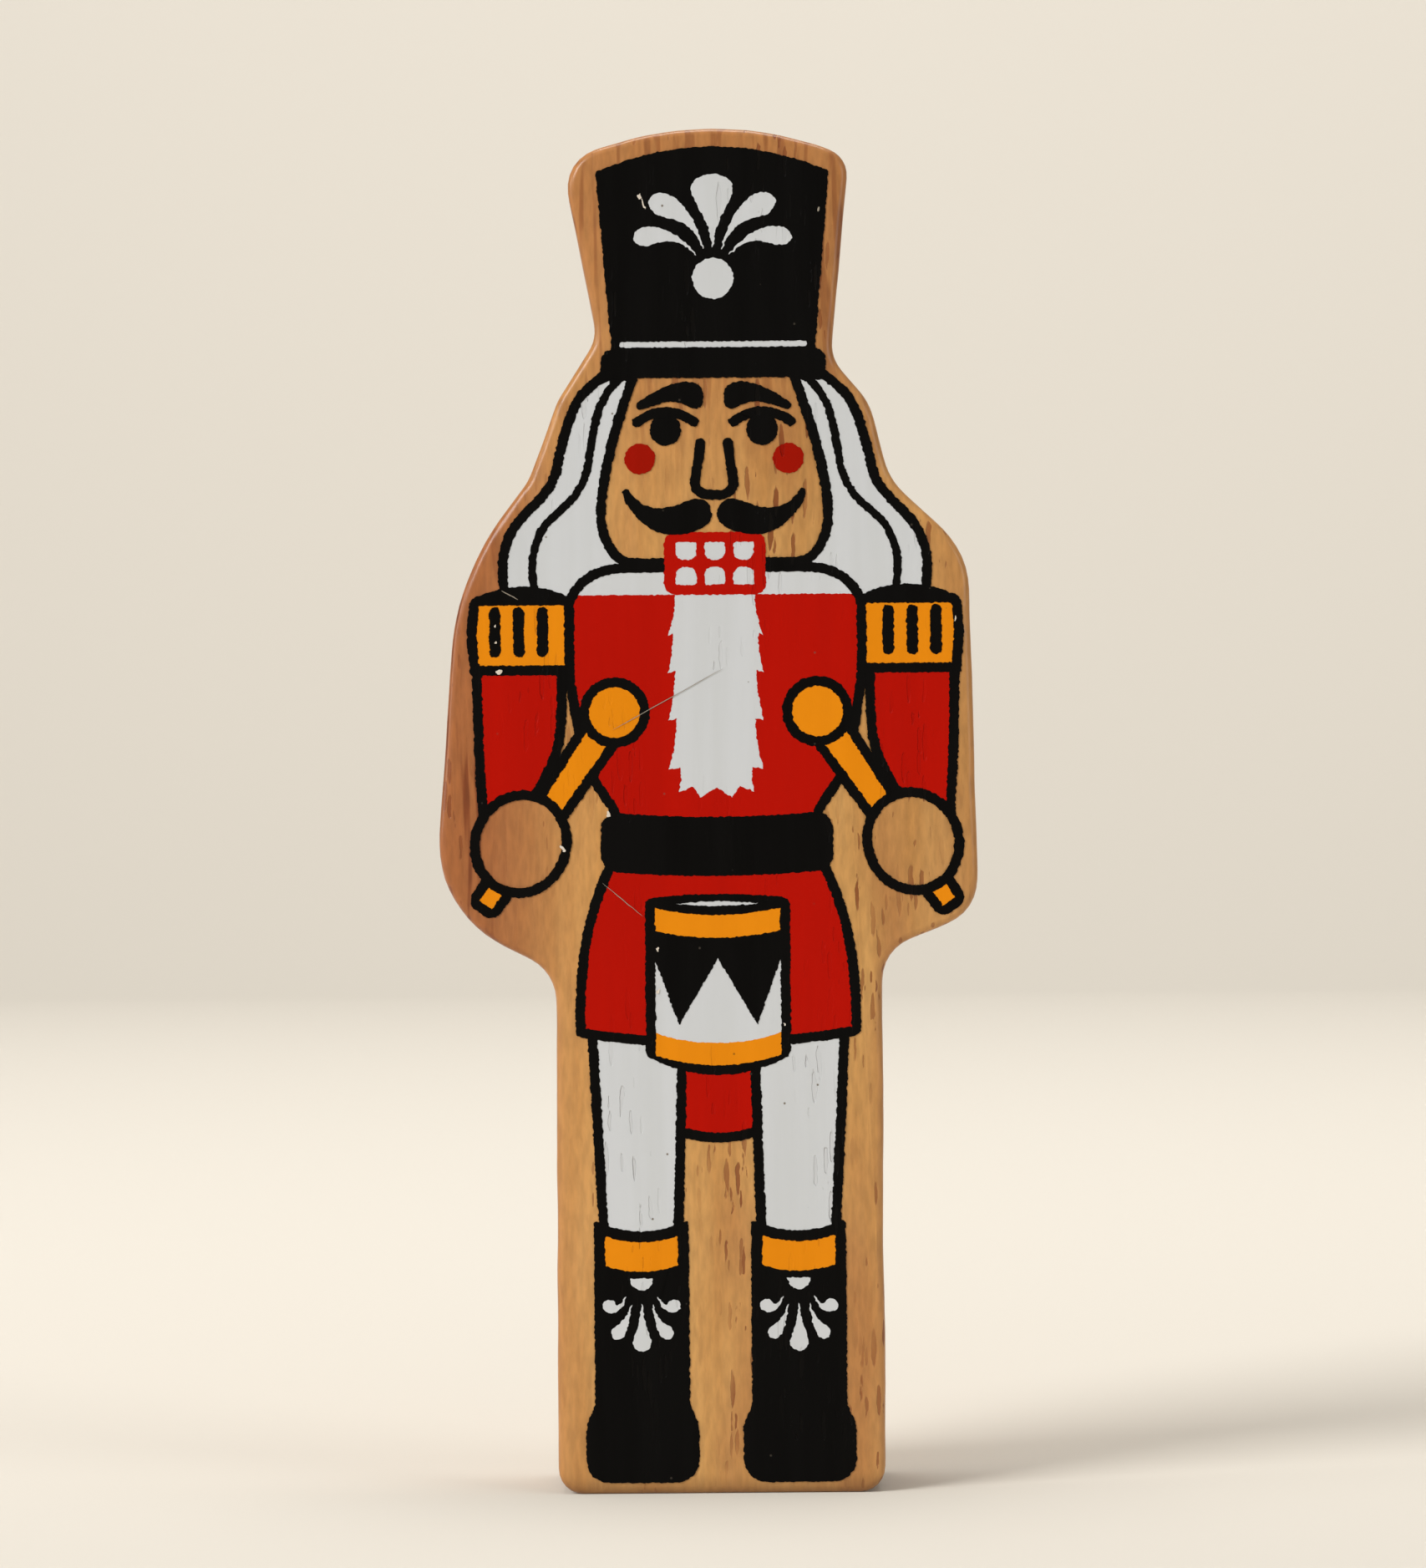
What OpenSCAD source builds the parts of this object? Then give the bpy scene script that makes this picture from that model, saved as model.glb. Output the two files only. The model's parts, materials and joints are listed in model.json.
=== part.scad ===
// Flat toy soldier: a drummer printed in four inks on the front of one sawn wooden blank.
// The figure stands on Z = 0 and faces -Y, X runs to the viewer's right, and sizes are millimetres.
// The blank's outline follows the print, so a change to the print changes the blank with it.

/* [Wood blank] */
// Thickness of the board
blank_t = 18; // [12:0.5:26]
// Radius rounded onto the front and back edges
edge_r = 0.8; // [0.5:0.1:1.4]
// Bare wood left around most of the print
margin = 2; // [1.7:0.1:3]
// Bare wood left beside the hair, the hat band and the epaulettes
close_margin = 1.15; // [1.1:0.05:1.8]
// Radius of the two corners at the foot
base_corner_r = 2.6; // [1.6:0.1:4]
// Radius of the left corner at the top of the hat
left_top_r = 4; // [1.6:0.1:4.5]
// Radius of the right corner at the top of the hat
right_top_r = 2.8; // [1.6:0.1:3]
// Radius where each side meets the underside of an arm
armpit_r = 4.5; // [2:0.1:6]
// Radius of the rounded end below the left hand
left_elbow_r = 12; // [3:0.5:14]
// Radius of the rounded end below the right hand
right_elbow_r = 4.8; // [3:0.1:5]
// Radius of the left shoulder
left_shoulder_r = 26; // [4:0.5:28]
// Radius of the right shoulder
right_shoulder_r = 9; // [4:0.1:10]
// Height of a shoulder's corner above the collar
shoulder_rise = 4.2; // [3:0.1:6]
// Depth of each armpit below the rounded end of its arm
armpit_drop = 4; // [3:0.1:6]
// Radius of the bends beside the hair
hair_r = 7; // [3:0.1:8]
// Radius of the bend under the hat
neck_r = 4; // [2:0.1:5]

/* [Print] */
// Thickness of one ink film
ink_t = 0.06; // [0.03:0.01:0.2]
// Width of the black outlines
line_w = 0.95; // [0.7:0.05:1.1]
// Width of the line between two locks of hair
lock_line_w = 0.75; // [0.4:0.05:1]
// How far an edge runs on behind the piece that covers it
tuck = 0.2; // [0.1:0.05:0.4]
// Rounding of the sharpest printed corners
ink_corner_r = 0.2; // [0.1:0.05:0.3]

/* [Boots and legs] */
// Bare wood under the boots
foot_gap = 1.2; // [1:0.1:4]
// Distance between the middles of the two boots
boots_apart = 16.1; // [15.6:0.1:20]
// Width of a boot's foot
foot_w = 11.5; // [10.6:0.1:12.2]
// Height of the foot up to the ankle
foot_h = 7.8; // [6:0.1:10]
// Height over which the foot narrows to the shaft
instep_h = 1.9; // [1.8:0.1:3]
// Radius of the corners under the foot
foot_corner_r = 2.3; // [1:0.1:2.6]
// Radius of the bends at the ankle
ankle_r = 3.2; // [1:0.1:3.4]
// Width of a boot's shaft
shaft_w = 9.65; // [9:0.05:10.2]
// Height of a boot
boot_h = 26.8; // [24:0.1:32]
// Dip of the boot's curved top edge
boot_dip = 1.1; // [0.4:0.1:1.3]
// Width of the yellow cuff
cuff_w = 7.55; // [6:0.05:8]
// Height of the yellow cuff
cuff_h = 3.1; // [2:0.1:4]
// Black left above the cuff
cuff_gap = 1.5; // [1.2:0.1:2]
// Dip of the cuff's curved edges
cuff_dip = 0.65; // [0.2:0.05:0.9]
// Diameter of the half-round stud under the cuff
stud_d = 2.2; // [1.6:0.1:2.4]
// Distance from the cuff's lower corners down to the stud
stud_gap = 1.35; // [1:0.05:1.6]
// Visible length of a leg between the skirt's hem and the boot
leg_h = 18.9; // [16:0.1:24]
// Width of a leg at the hem
leg_top_w = 10.3; // [9.4:0.1:10.8]
// Width of a leg at the boot
leg_bottom_w = 8.5; // [7.6:0.1:9]
// How much further out a leg's top lies than its boot
leg_lean = 0.25; // [0:0.05:0.5]

/* [Skirt and drum] */
// Height of the coat's skirt
skirt_h = 17; // [15:0.1:20]
// Width of the skirt at its hem
skirt_w = 29.2; // [27:0.1:32]
// Width of the skirt at the belt
skirt_top_w = 22.2; // [20:0.1:23]
// Dip of the curved hem
hem_dip = 1.2; // [0.4:0.1:2]
// Radius of the hem's corners
hem_corner_r = 0.8; // [0.2:0.1:1.5]
// Length of the coat tail seen between the legs, below the hem
tail_h = 10; // [8:0.1:13]
// Dip of the coat tail's lower edge
tail_dip = 0.9; // [0.3:0.1:1.4]
// Width of the drum
drum_w = 14.8; // [12:0.1:16]
// Height of the drum at its sides
drum_h = 16.1; // [14:0.1:16.6]
// How far the drum's sides hang below the hem
drum_drop = 2; // [1:0.1:3]
// Dip of the drum's curved lower edge
drum_dip = 2; // [1:0.1:3]
// Rise of the drum's curved upper edge
drum_rise = 0.4; // [0.1:0.1:0.8]
// Radius of the drum's corners
drum_corner_r = 0.8; // [0.2:0.1:1]
// Height of the drum's upper hoop
upper_hoop_h = 2.4; // [1.6:0.1:3]
// Dip of the upper hoop's edges
upper_dip = 0.75; // [0.3:0.05:1]
// Height of the drum's lower hoop
lower_hoop_h = 2.3; // [1.6:0.1:3]
// Dip of the lower hoop's edges
lower_dip = 1.05; // [0.5:0.05:1.2]
// Height of the white points on the drum's side
zigzag_h = 6.8; // [4:0.1:7.2]
// White left under the black points at the drum's side
zigzag_gap = 0.9; // [0.4:0.1:1.4]
// Distance from the drum's middle to each black point
zigzag_x = 4; // [3:0.1:4.6]
// Width of the strip of drum skin
skin_w = 8.7; // [6:0.1:10]
// Thickness of the strip of drum skin
skin_t = 0.55; // [0.3:0.05:0.6]
// Distance from the drum's upper edge down to the strip of skin
skin_gap = 0.55; // [0.4:0.05:0.7]

/* [Belt and coat] */
// Height of the belt
belt_h = 6; // [4.5:0.1:7]
// Width of the belt
belt_w = 23.7; // [22.6:0.1:25]
// Dip of the belt's curved edges
belt_dip = 0.6; // [0.2:0.1:1]
// Radius of the belt's corners
belt_corner_r = 1.6; // [0.5:0.1:2]
// Height of the coat from the belt to the collar
coat_h = 22.2; // [20.5:0.1:25]
// Width of the coat at the chest
coat_w = 31.3; // [30.4:0.1:33]
// Height of the collar up to the chin
collar_h = 2.8; // [2:0.1:4]
// Width of the beard at the tips of its locks
beard_w = 9.8; // [8:0.1:11]
// Width of the beard under the mouth
beard_root_w = 8.2; // [6.5:0.1:9]
// Length of the beard
beard_h = 20.8; // [19:0.1:21.6]

/* [Epaulettes and arms] */
// Width of an epaulette with its outline
epaulette_w = 10.95; // [10:0.05:12]
// Height of an epaulette with its outline, under the dome
epaulette_h = 8.1; // [6.5:0.1:9]
// Rise of the black dome over an epaulette
dome_h = 0.95; // [0.4:0.05:1.4]
// Radius of an epaulette's outer upper corner
dome_corner_r = 1.1; // [1:0.1:1.4]
// How far an epaulette's outer side bows out
bow = 0.35; // [0.1:0.05:0.6]
// Width of the three black slots in an epaulette
slot_w = 1.1; // [0.6:0.05:1.4]
// Height of the slots
slot_h = 5.1; // [3:0.1:5.4]
// Distance between two slots
slot_pitch = 2.45; // [2:0.05:2.6]
// Width of a sleeve at the epaulette
sleeve_w = 9.65; // [8.8:0.05:10.2]
// Distance between the middles of the two hands
hands_apart = 40.2; // [38.4:0.1:44]
// Width of a hand
hand_w = 10.3; // [8.5:0.1:11]
// Length of a hand
hand_l = 11.1; // [9:0.1:12]
// Lean of a hand, in degrees
hand_lean = 20; // [0:1:35]
// How far the middle of a hand lies below the top of the belt
hand_drop = 3.2; // [2:0.1:5]

/* [Drumsticks] */
// Diameter of the ball with its outline
ball_d = 7.15; // [5:0.05:8]
// Width of the stick at the ball, with its outline
stick_w = 4.65; // [3.4:0.05:5]
// Width of the stick at its butt, with its outline
butt_w = 3.4; // [2.8:0.05:4]
// Length from the grip to the middle of the ball
stick_l = 16.2; // [14:0.1:17]
// Length from the grip to the end of the butt
butt_l = 8.5; // [7.5:0.1:9.5]
// How far inside the hand's middle the stick passes
grip_offset = 0.6; // [0:0.1:1]
// Radius of the corners at the butt
butt_r = 1.2; // [0.4:0.1:1.4]
// Lean of the stick from upright, in degrees
stick_lean = 34.2; // [30:0.2:37]

/* [Head] */
// Height of the face from the chin to the hat band
face_h = 19.45; // [18.4:0.05:23]
// Width of the face with its outline
face_w = 24.2; // [22.5:0.1:25]
// Width of the hair at the shoulders
hair_w = 44.4; // [41:0.1:46]
// Distance between the middles of the eyes
eyes_apart = 9.9; // [9:0.1:10.5]
// Diameter of an iris
iris_d = 3.15; // [2:0.05:3.6]
// Width of an upper eyelid
eyelid_w = 5.9; // [4.5:0.1:6.4]
// Rise of an eyelid's curve
eyelid_rise = 1.05; // [0.5:0.05:1.2]
// Height of an eyelid's ends above the middle of the iris
eyelid_z = 0.8; // [0.4:0.05:1]
// Length of an eyebrow
brow_w = 6.85; // [5:0.05:7.2]
// Height of an eyebrow
brow_h = 2.75; // [1.8:0.05:3]
// Gap between the eyebrows
brow_gap = 2.1; // [1.2:0.1:3]
// Distance between the middles of the cheeks
cheeks_apart = 15.2; // [13:0.1:16]
// Diameter of a cheek
cheek_d = 3.1; // [2:0.05:3.8]
// Width of the nose between its lines' middles
nose_w = 4; // [3:0.1:4.6]
// Height of the nose
nose_h = 5.3; // [4:0.1:5.8]
// Length of one half of the moustache
moustache_w = 9.05; // [7:0.05:9.6]
// Height of the moustache
moustache_h = 4.65; // [3:0.05:4.8]
// Gap between the halves of the moustache
moustache_gap = 0.6; // [0.3:0.1:1]
// Width of the mouth
mouth_w = 10.4; // [9.4:0.1:12]
// Height of the mouth
mouth_h = 6.4; // [5.6:0.1:6.8]
// Radius of the mouth's corners
mouth_corner_r = 1.2; // [0.5:0.1:2]
// Red left above and below the teeth
gum_h = 1; // [0.6:0.1:1.2]
// Width of a tooth
tooth_w = 2.15; // [1.5:0.05:2.5]
// Height of a tooth
tooth_h = 1.85; // [1.2:0.05:2.2]
// Distance between two teeth
tooth_pitch = 2.95; // [2.6:0.05:3.1]

/* [Hat] */
// Height of the hat band
band_h = 2.9; // [2:0.1:4]
// Width of the hat band
band_w = 23; // [22:0.1:24]
// Radius of the band's upper corners
band_corner_r = 1.2; // [0.4:0.1:1.8]
// Height of the crown's side
crown_h = 18.2; // [17:0.1:24]
// Width of the crown at the band
crown_bottom_w = 20.8; // [19.5:0.1:22]
// Width of the crown at the top
crown_top_w = 23.8; // [22:0.1:28]
// Rise of the crown's curved top
crown_rise = 2.55; // [1.5:0.05:4]
// Radius of the crown's upper corners
crown_corner_r = 0.3; // [0.2:0.1:1.5]
// Length of the white cord
cord_w = 19.3; // [15:0.1:19.6]
// Thickness of the white cord
cord_t = 0.65; // [0.4:0.05:0.8]
// Height of the cord's middle above the band
cord_rise = 0.5; // [0.45:0.05:1]
// Diameter of the white dot under the petals
dot_d = 4.1; // [2.5:0.05:4.4]
// Height of the dot's middle above the band
dot_rise = 7.25; // [5:0.05:7.5]

/* [Hidden] */
$fn = 48;

// Ink and wood colours
wood = "#c08c51";
black = "#141312";
white = "#d2d1ce";
red = "#b41405";
yellow = "#e38a0c";

// Steps along one stretch of a curve, a dipping edge, a petal, an oval, and the rounding of the blank's edge
curve_steps = 6;
dip_steps = 8;
petal_steps = 14;
oval_steps = 48;
edge_steps = 4;

// Heights of the seams between the garments, built up from the foot
boot_top = foot_gap + boot_h;
hem_z = boot_top + leg_h;
belt_z = hem_z + skirt_h;
waist_z = belt_z + belt_h;
collar_z = waist_z + coat_h;
chin_z = collar_z + collar_h;
band_z = chin_z + face_h;
crown_z = band_z + band_h;
crown_top = crown_z + crown_h;
figure_h = crown_top + crown_rise + margin;

// Places across the figure
boot_x = boots_apart / 2;
hand = [hands_apart / 2, waist_z - hand_drop];
epaulette_x = coat_w / 2 - line_w - tuck;
epaulette_end = epaulette_x + epaulette_w;
epaulette_z = collar_z - epaulette_h;
slot_z = collar_z - line_w - tuck - slot_h;
sleeve_end = epaulette_end - line_w / 2;
sleeve_top = epaulette_z + line_w + tuck;
big = 4 * figure_h;

// The stick leans through the hand
grip = hand - [grip_offset, 0];
stick_dir = [sin(stick_lean), -cos(stick_lean)];
ball = grip - stick_dir * stick_l;
butt = grip + stick_dir * butt_l;

// Heights in the face, as shares of its height above the chin
eye_z = chin_z + 0.725 * face_h;
brow_z = chin_z + 0.834 * face_h;
cheek_z = chin_z + 0.573 * face_h;
nose_z = chin_z + 0.383 * face_h;
moustache_z = chin_z + 0.175 * face_h;

// The drum's levels at its sides
drum_z = hem_z - drum_drop;
drum_top = drum_z + drum_h;
drum_inside = drum_w / 2 - line_w;
upper_hoop_z = drum_top - line_w - upper_hoop_h;
shell_z = drum_z + lower_hoop_h;

// Curves

function lerp(a, b, u) = a + (b - a) * u;
function unit(v) = v / norm(v);
function turned(v, a) = [v.x * cos(a) - v.y * sin(a), v.x * sin(a) + v.y * cos(a)];
function reversed(p) = [for (i = [len(p) - 1 : -1 : 0]) p[i]];

// The same points on the other side of the figure, in the opposite order
function across(p) = [for (q = reversed(p)) [-q[0], each [for (k = [1 : len(q) - 1]) q[k]]]];

// Points given as shares of the box from corner a to corner b
function in_box(p, a, b) = [for (q = p) [lerp(a.x, b.x, q.x), lerp(a.y, b.y, q.y)]];

// Point at share u between b and c on a smooth curve through a, b, c and d
function between(a, b, c, d, u) =
    (2 * b + (c - a) * u + (2 * a - 5 * b + 4 * c - d) * u * u
        + (3 * b - a - 3 * c + d) * u * u * u) / 2;

// Smooth open curve through the points p
function curve(p) = let (last = len(p) - 1) [
    for (i = [0 : last - 1], k = [0 : curve_steps - 1])
        between(p[max(i - 1, 0)], p[i], p[i + 1], p[min(i + 2, last)], k / curve_steps),
    p[last]
];

// Smooth closed curve through the points p
function loop(p) = let (n = len(p)) [
    for (i = [0 : n - 1], k = [0 : curve_steps - 1])
        between(p[(i + n - 1) % n], p[i], p[(i + 1) % n], p[(i + 2) % n], k / curve_steps)
];

// Rounding of the corner at p, between the directions to its two neighbours
function corner_arc(p, to_last, to_next, r) =
    let (
        half = acos(to_last * to_next) / 2,
        middle = p + unit(to_last + to_next) * r / sin(half),
        start = p + to_last * r / tan(half) - middle,
        end = p + to_next * r / tan(half) - middle,
        turn = (180 - 2 * half) * sign(cross(start, end))
    )
    [for (k = [0 : curve_steps]) middle + turned(start, turn * k / curve_steps)];

// Closed outline through corners given as [x, z, radius]
function rounded(corners) = let (n = len(corners)) [
    for (i = [0 : n - 1])
        let (
            p = [corners[i].x, corners[i].y],
            last = corners[(i + n - 1) % n],
            next = corners[(i + 1) % n]
        )
        each corners[i].z == 0
            ? [p]
            : corner_arc(p, unit([last.x, last.y] - p), unit([next.x, next.y] - p), corners[i].z)
];

// A counterclockwise outline p moved inwards by d all round
function inset(p, d) = let (n = len(p)) [
    for (i = [0 : n - 1])
        let (
            a = unit(p[i] - p[(i + n - 1) % n]),
            b = unit(p[(i + 1) % n] - p[i]),
            out_a = [a.y, -a.x],
            out_b = [b.y, -b.x]
        )
        p[i] - (out_a + out_b) * d / (1 + out_a * out_b)
];

// The area inside a line of width d along rounded corners, where the line fills each tighter corner
function inside(corners, d) = inset(rounded([for (c = corners) [c.x, c.y, c.z > d ? c.z : 0]]), d);

// Outline of a line of width w drawn along a path, with round ends
function ribbon(path, w) =
    let (
        last = len(path) - 1,
        side = [
            for (i = [0 : last])
                turned(unit(path[min(i + 1, last)] - path[max(i - 1, 0)]), 90) * w / 2
        ],
        cap = [for (k = [1 : curve_steps - 1]) 180 * k / curve_steps]
    )
    concat(
        [for (i = [0 : last]) path[i] - side[i]],
        [for (a = cap) path[last] - turned(side[last], a)],
        [for (i = [last : -1 : 0]) path[i] + side[i]],
        [for (a = cap) path[0] + turned(side[0], a)]
    );

// Points of a dipping edge between -half_w and half_w, ends left out, drawn right to left for way = 1
function dipping(half_w, z, dip, way) = [
    for (k = [1 : dip_steps - 1])
        let (u = way * (1 - 2 * k / dip_steps))
        [half_w * u, z - dip * (1 - u * u), 0]
];

// A band between z0 and z1 whose lower and upper edges dip, with corners of radius r
function band(half_w, z0, z1, dip0, dip1, r = 0) = rounded(concat(
    [[-half_w, z0, r]], dipping(half_w, z0, dip0, -1), [[half_w, z0, r]],
    [[half_w, z1, r]], dipping(half_w, z1, dip1, 1), [[-half_w, z1, r]]
));

// A panel with two lower corners of radius r0 and two upper ones of radius r1
function panel(half_w, z0, z1, r0, r1) =
    rounded([[-half_w, z0, r0], [half_w, z0, r0], [half_w, z1, r1], [-half_w, z1, r1]]);

// Half width of a drop with a thin stalk, at share s of its length, where its widest place counts as 1
function drop_width(s) =
    let (root_power = 2.8, tip_power = 0.6, widest = root_power / (root_power + tip_power))
    let (stalk_share = 0.2, stalk_power = 0.5)
    pow(s / widest, root_power) * pow((1 - s) / (1 - widest), tip_power)
        + stalk_share * pow(s, stalk_power) * (1 - s);

// A drop-shaped petal along a bent spine from its pointed root to its round tip
function petal(root, bend, tip, w) =
    let (
        n = petal_steps,
        share = [for (k = [0 : n]) 1 - pow(1 - k / n, 2)],
        spine = [for (s = share) root * pow(1 - s, 2) + bend * 2 * s * (1 - s) + tip * s * s],
        side = [
            for (k = [0 : n])
                let (s = share[k], along = (bend - root) * (1 - s) + (tip - bend) * s)
                turned(unit(along), 90) * w / 2 * drop_width(s)
        ]
    )
    concat([for (k = [0 : n]) spine[k] - side[k]], [for (k = [n - 1 : -1 : 1]) spine[k] + side[k]]);

// Outlines of the printed pieces, each with its black edge, drawn for the viewer's right side

// The boot is drawn about its own middle
boot_half = [
    [foot_w / 2, foot_gap, foot_corner_r],
    [foot_w / 2, foot_gap + foot_h - instep_h, ankle_r],
    [shaft_w / 2, foot_gap + foot_h, ankle_r],
    [shaft_w / 2, boot_top, ink_corner_r]
];
boot_edge = rounded(concat(boot_half, dipping(shaft_w / 2, boot_top, boot_dip, 1), across(boot_half)));

cuff_top = boot_top - cuff_gap;
cuff_edge = band(cuff_w / 2, cuff_top - cuff_h, cuff_top, cuff_dip, cuff_dip, ink_corner_r);

// Petals of the boot, from the middle of the stud's flat top: root, bend, tip and width
stud_z = cuff_top - cuff_h - stud_gap;
boot_petals = [
    [[1.1, -2.65], [1.5, -4.8], [3, -5.95], 1.2],
    [[1.65, -1.85], [2.4, -3.8], [3.8, -2.35], 1.15]
];
boot_drop = [[0, -2.6], [0, -5], [0, -7.4], 1.7];

leg_edge = [
    [boot_x - leg_bottom_w / 2, boot_top - boot_dip - line_w],
    [boot_x + leg_bottom_w / 2, boot_top - boot_dip - line_w],
    [boot_x + leg_lean + leg_top_w / 2, hem_z + line_w],
    [boot_x + leg_lean - leg_top_w / 2, hem_z + line_w]
];

// The tail's sides lie hidden behind the legs
tail_half = boot_x - leg_bottom_w / 2 + line_w;
tail_edge = band(tail_half, hem_z - tail_h, hem_z, tail_dip, 0);

// The skirt swells quickly under the belt and hangs nearly straight at the hem
skirt_swell = 2.7;
skirt_side = [
    for (u = [0.9 : -0.1 : 0])
        [lerp(skirt_w, skirt_top_w, pow(1 - u, skirt_swell)) / 2, lerp(belt_z + line_w + tuck, hem_z, u), 0]
];
skirt_half = concat([[skirt_w / 2, hem_z, hem_corner_r]], skirt_side);
skirt_corners = concat(dipping(skirt_w / 2, hem_z, hem_dip, -1), skirt_half, across(skirt_half));
skirt_edge = rounded(skirt_corners);

drum_edge = band(drum_w / 2, drum_z, drum_top, drum_dip, -drum_rise, drum_corner_r);
upper_hoop_edge = band(drum_inside, upper_hoop_z, upper_hoop_z + upper_hoop_h, upper_dip, upper_dip);
lower_hoop_edge = band(drum_inside, drum_z, shell_z, lower_dip, lower_dip);
zigzag_low = shell_z + zigzag_gap;
zigzag_high = zigzag_low + zigzag_h;
shell_edge = concat(
    [[-drum_inside, shell_z]],
    [for (p = dipping(drum_inside, shell_z, lower_dip, -1)) [p.x, p.y]],
    [[drum_inside, shell_z], [drum_inside, zigzag_high], [zigzag_x, zigzag_low], [0, zigzag_high]],
    [[-zigzag_x, zigzag_low], [-drum_inside, zigzag_high]]
);
skin_edge = ribbon([for (x = [-1, 1]) [x * (skin_w - skin_t) / 2, drum_top - skin_gap]], skin_t);

belt_edge = band(belt_w / 2, belt_z, waist_z, belt_dip, belt_dip, belt_corner_r);

// Half of the coat from the belt up to the chin, as shares of its half width and height
coat_half = in_box(
    [
        [0.69, -0.07], [0.70, 0], [0.845, 0.137], [0.905, 0.26], [0.94, 0.36], [0.965, 0.455], [0.99, 0.57],
        [1, 0.71], [0.997, 0.81], [0.965, 0.875], [0.90, 0.93], [0.805, 0.972], [0.68, 0.995], [0.51, 1]
    ],
    [0, waist_z], [coat_w / 2, chin_z + line_w / 2]
);
coat_edge = concat(curve(coat_half), across(curve(coat_half)));

// Each lock at the beard's side swells from its root to a tip, then steps in by a notch to the next root.
// A lock is given by the depth of its tip below the collar and the depth of the notch under it.
beard_locks = [[0, (beard_w - beard_root_w) / 2], [4, 0.5], [7.8, 0.7], [12.7, 0.85], [17.7, 1.2]];
beard_side = [
    for (i = [1 : len(beard_locks) - 1])
        let (
            root = [beard_w / 2 - beard_locks[i - 1][1], beard_locks[i - 1][0]],
            tip = [beard_w / 2, beard_locks[i][0] + tuck]
        )
        for (u = [0 : 0.25 : 1])
            [lerp(root.x, tip.x, u * u), collar_z - lerp(root.y, tip.y, u)]
];
last_root = [beard_w / 2 - beard_locks[4][1], collar_z - beard_locks[4][0]];

// The beard's lower edge runs from side to middle: share of the half width, and height above the lowest point
fringe = [[0.75, 1.6], [0.8, 0.55], [0.5, 1.15], [0.33, 0]];
fringe_middle = 1.05;
beard_z = collar_z - beard_h;
beard_fringe = [for (p = fringe) [p.x * beard_w / 2, beard_z + p.y]];
beard_half = reversed(concat(beard_side, [last_root], beard_fringe));
beard_edge = concat([[0, beard_z + fringe_middle]], beard_half, across(beard_half));

epaulette_corners = [
    [epaulette_x, epaulette_z, ink_corner_r],
    [epaulette_end - bow, epaulette_z, ink_corner_r],
    [epaulette_end, epaulette_z + epaulette_h / 2, epaulette_h],
    [epaulette_end - bow, collar_z, dome_corner_r],
    [epaulette_x, collar_z, ink_corner_r]
];
epaulette_body = rounded(epaulette_corners);
gold_edge = inside(epaulette_corners, line_w);

// Slot number i of an epaulette, counted from its middle one
function slot_edge(i) =
    let (x = (epaulette_x + epaulette_end + bow) / 2 + i * slot_pitch)
    ribbon([for (z = [slot_z + slot_w / 2, slot_z + slot_h - slot_w / 2]) [x, z]], slot_w);

// The dome rises from just under the epaulette's upper edge
dome_foot = collar_z - line_w / 3;
dome_half = (epaulette_w - dome_corner_r / 2) / 2;
dome_x = epaulette_x + dome_half;
dome_edge = concat(
    [[dome_x - dome_half, dome_foot - tuck], [dome_x + dome_half, dome_foot - tuck]],
    [for (p = dipping(dome_half, dome_foot, dome_foot - collar_z - dome_h, 1)) [dome_x + p.x, p.y]]
);

// Sleeve from the epaulette down behind the hand, as shares of its width and length
sleeve_edge = in_box(
    concat(
        curve([[0, 0], [0, 0.22], [0.015, 0.365], [0.067, 0.505], [0.176, 0.635], [0.34, 0.78]]),
        [[0.94, 0.85], [0.98, 0.48], [1, 0]]
    ),
    [sleeve_end - sleeve_w, sleeve_top], [sleeve_end, hand.y]
);

hand_edge = [
    for (k = [0 : oval_steps - 1])
        let (a = 360 * k / oval_steps)
        hand + turned([hand_w / 2 * cos(a), hand_l / 2 * sin(a)], hand_lean)
];

stick_side = turned(stick_dir, 90);
stick_corners = [
    concat(ball - stick_side * stick_w / 2, 0),
    concat(butt - stick_side * butt_w / 2, butt_r),
    concat(butt + stick_side * butt_w / 2, butt_r),
    concat(ball + stick_side * stick_w / 2, 0)
];
stick_edge = rounded(stick_corners);
stick_inside = inset([for (c = stick_corners) [c.x, c.y]], line_w);

// Half of the face from the chin up under the band, as shares of its half width and height
face_half = curve(in_box(
    [
        [0.645, 0], [0.76, 0.008], [0.86, 0.046], [0.942, 0.118], [0.988, 0.2], [1, 0.288], [0.988, 0.396],
        [0.942, 0.555], [0.88, 0.71], [0.806, 0.858], [0.727, 1], [0.70, 1.06]
    ],
    [0, chin_z], [face_w / 2, band_z]
));
face_edge = concat(face_half, across(face_half));

// Edge of the hair and the line between its locks, as shares of the box from the band's end to the shoulder
function by_hair(p) = in_box(p, [band_w / 2, band_z + ink_corner_r + line_w / 2], [hair_w / 2, collar_z]);
hair_side = curve(by_hair([
    [0, 0], [0.13, 0.05], [0.25, 0.11], [0.36, 0.22], [0.445, 0.36], [0.50, 0.465], [0.61, 0.545],
    [0.80, 0.635], [0.93, 0.725], [1, 0.845], [0.985, 1], [0.96, 1.12]
]));
hair_hidden_x = face_w / 4;
hair_edge = concat(
    [[hair_hidden_x, hair_side[len(hair_side) - 1].y]], reversed(hair_side), [[hair_hidden_x, hair_side[0].y]]
);
lock_line = ribbon(
    curve(by_hair([
        [-0.175, 0.035], [-0.07, 0.087], [0.02, 0.165], [0.07, 0.25], [0.105, 0.34], [0.14, 0.437],
        [0.195, 0.506], [0.29, 0.57], [0.41, 0.623], [0.53, 0.675], [0.605, 0.73], [0.655, 0.80],
        [0.675, 0.875], [0.655, 0.98], [0.64, 1.05]
    ])),
    lock_line_w
);

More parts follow.
